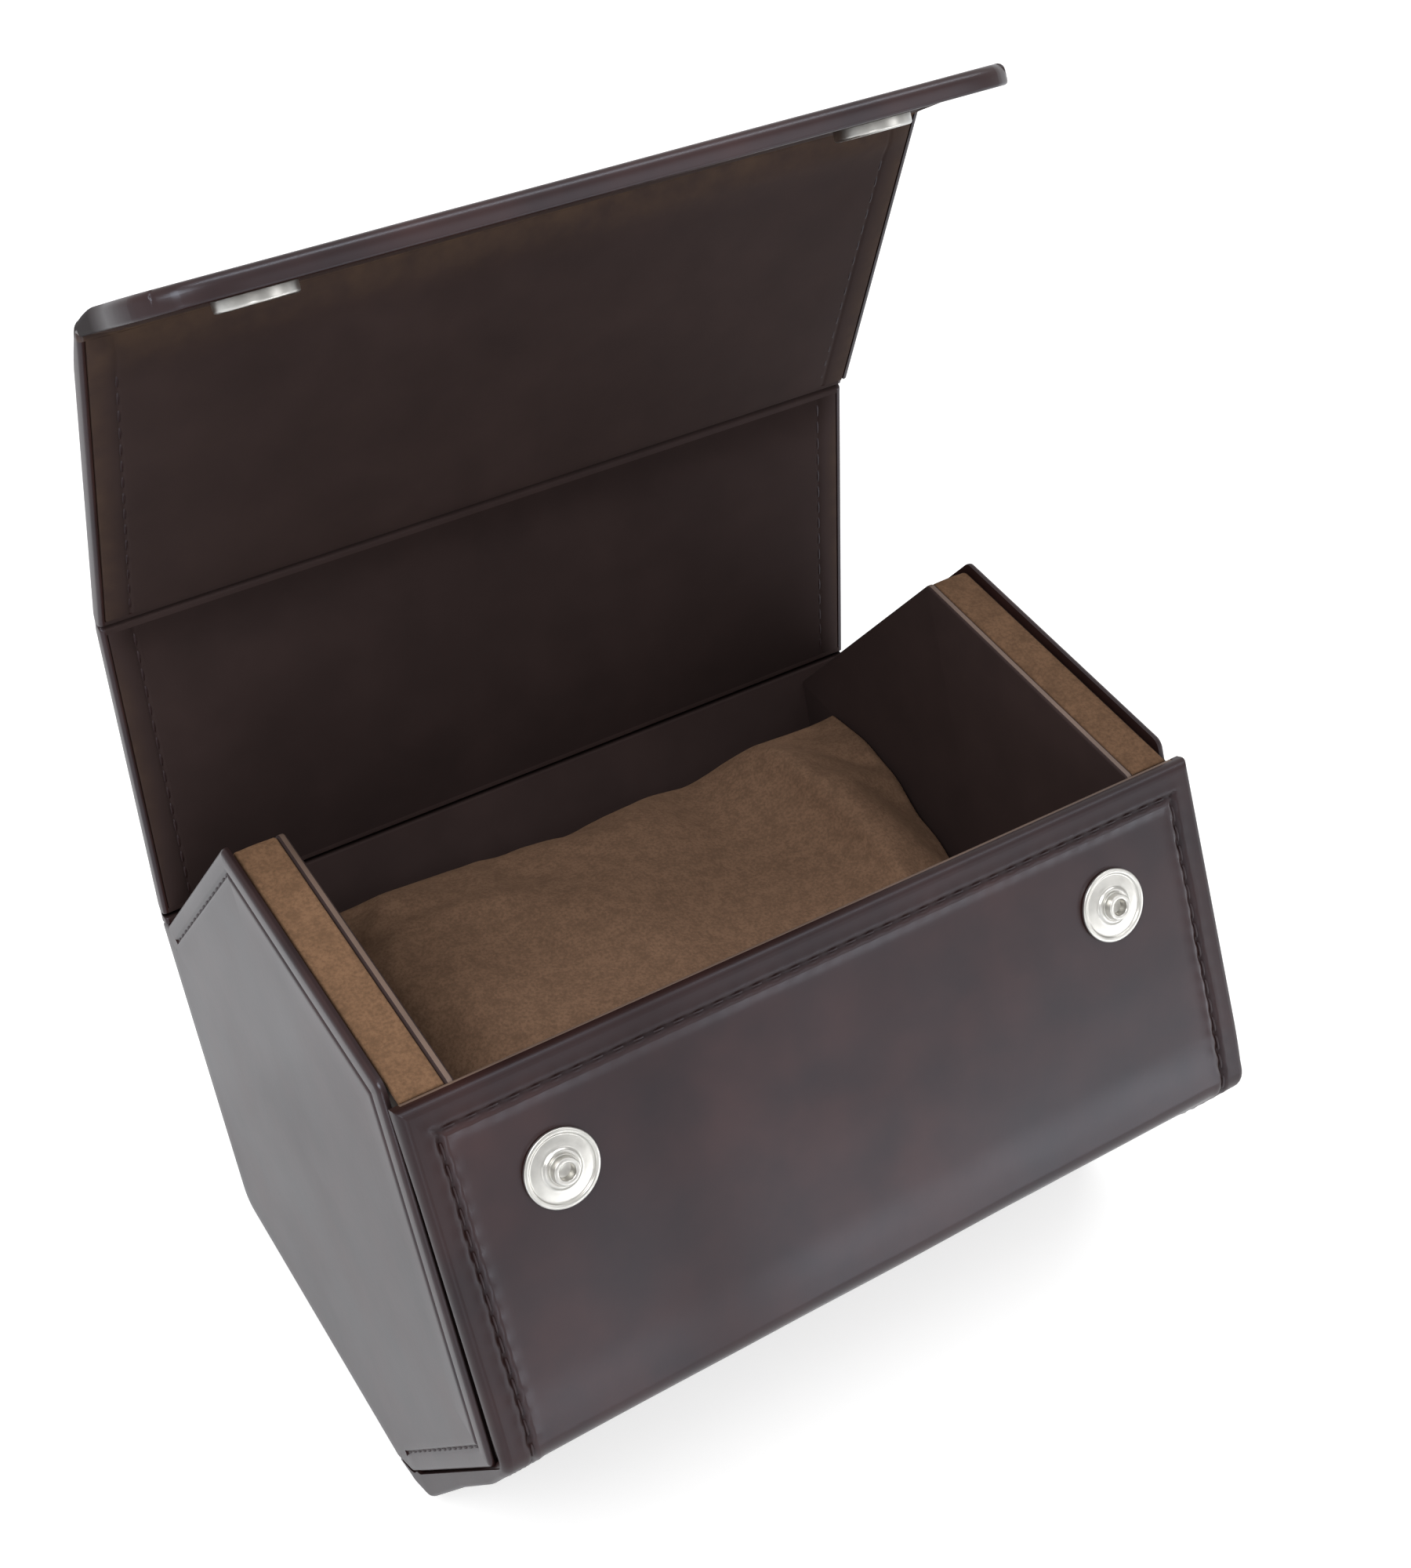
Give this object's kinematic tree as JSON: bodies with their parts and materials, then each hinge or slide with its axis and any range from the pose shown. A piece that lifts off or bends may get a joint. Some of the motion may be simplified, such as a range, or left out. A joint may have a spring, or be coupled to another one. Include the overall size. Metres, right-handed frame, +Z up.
{
  "type": "watch display box",
  "caption": "Six-sided leather watch box lying on a flat side, with thick end blocks, a fixed front, a folding lid with a magnetic snap flap, and a suede watch pillow.",
  "frame": {"origin": "middle of the flat underside that the box lies on", "axes": "+X along the box, +Y to the back where the lid is hinged, +Z up"},
  "size_m": [0.118, 0.1107, 0.1593],
  "materials": {
    "outer_leather": "satin",
    "lining_leather": "satin",
    "suede": "matte",
    "greyboard": "matte",
    "block_core": "matte",
    "filling": "matte",
    "snap_metal": "satin",
    "washer_steel": "satin",
    "magnet": "satin"
  },
  "bodies": {
    "root": {"body_leather": "outer_leather", "body_lining": "lining_leather", "front_board": "greyboard", "lower_front_board": "greyboard", "base_board": "greyboard", "lower_back_board": "greyboard", "hinge_strip": "outer_leather", "left_end_leather": "outer_leather", "left_end_core": "block_core", "left_rim_suede": "suede", "left_inner_facing": "lining_leather", "right_end_leather": "outer_leather", "right_end_core": "block_core", "right_rim_suede": "suede", "right_inner_facing": "lining_leather", "left_snap_stud": "snap_metal", "right_snap_stud": "snap_metal", "left_stud_washer": "washer_steel", "right_stud_washer": "washer_steel"},
    "lid_rear": {"lid_rear_leather": "outer_leather", "lid_rear_board": "greyboard", "lid_rear_lining": "lining_leather", "lid_crease_strip": "outer_leather"},
    "lid_top": {"lid_top_leather": "outer_leather", "lid_top_board": "greyboard", "lid_top_lining": "lining_leather", "flap_crease_strip": "outer_leather"},
    "flap": {"flap_leather": "outer_leather", "flap_board": "greyboard", "flap_lining": "lining_leather", "left_snap_socket": "snap_metal", "left_snap_magnet": "magnet", "left_socket_back": "snap_metal", "left_socket_washer": "washer_steel", "right_snap_socket": "snap_metal", "right_snap_magnet": "magnet", "right_socket_back": "snap_metal", "right_socket_washer": "washer_steel"},
    "pillow": {"pillow_top": "suede", "pillow_bottom": "suede", "pillow_filling": "filling"}
  },
  "joints": [
    {"name": "lid_hinge", "type": "hinge", "parent": "root", "child": "lid_rear", "pos_m": [0, 0.04994, 0.04453], "axis": [1, 0, 0], "range_deg": [-75, 44.07]},
    {"name": "lid_crease", "type": "hinge", "parent": "lid_rear", "child": "lid_top", "pos_m": [0, 0.0594, 0.09184], "axis": [1, 0, 0], "range_deg": [-21, 35.83]},
    {"name": "flap_crease", "type": "hinge", "parent": "lid_top", "child": "flap", "pos_m": [0, 0.05027, 0.14309], "axis": [1, 0, 0], "range_deg": [-44, 12.33]},
    {"name": "pillow_lift", "type": "slide", "parent": "root", "child": "pillow", "axis": [0, 0, 1], "range_m": [0, 0.016]}
  ]
}
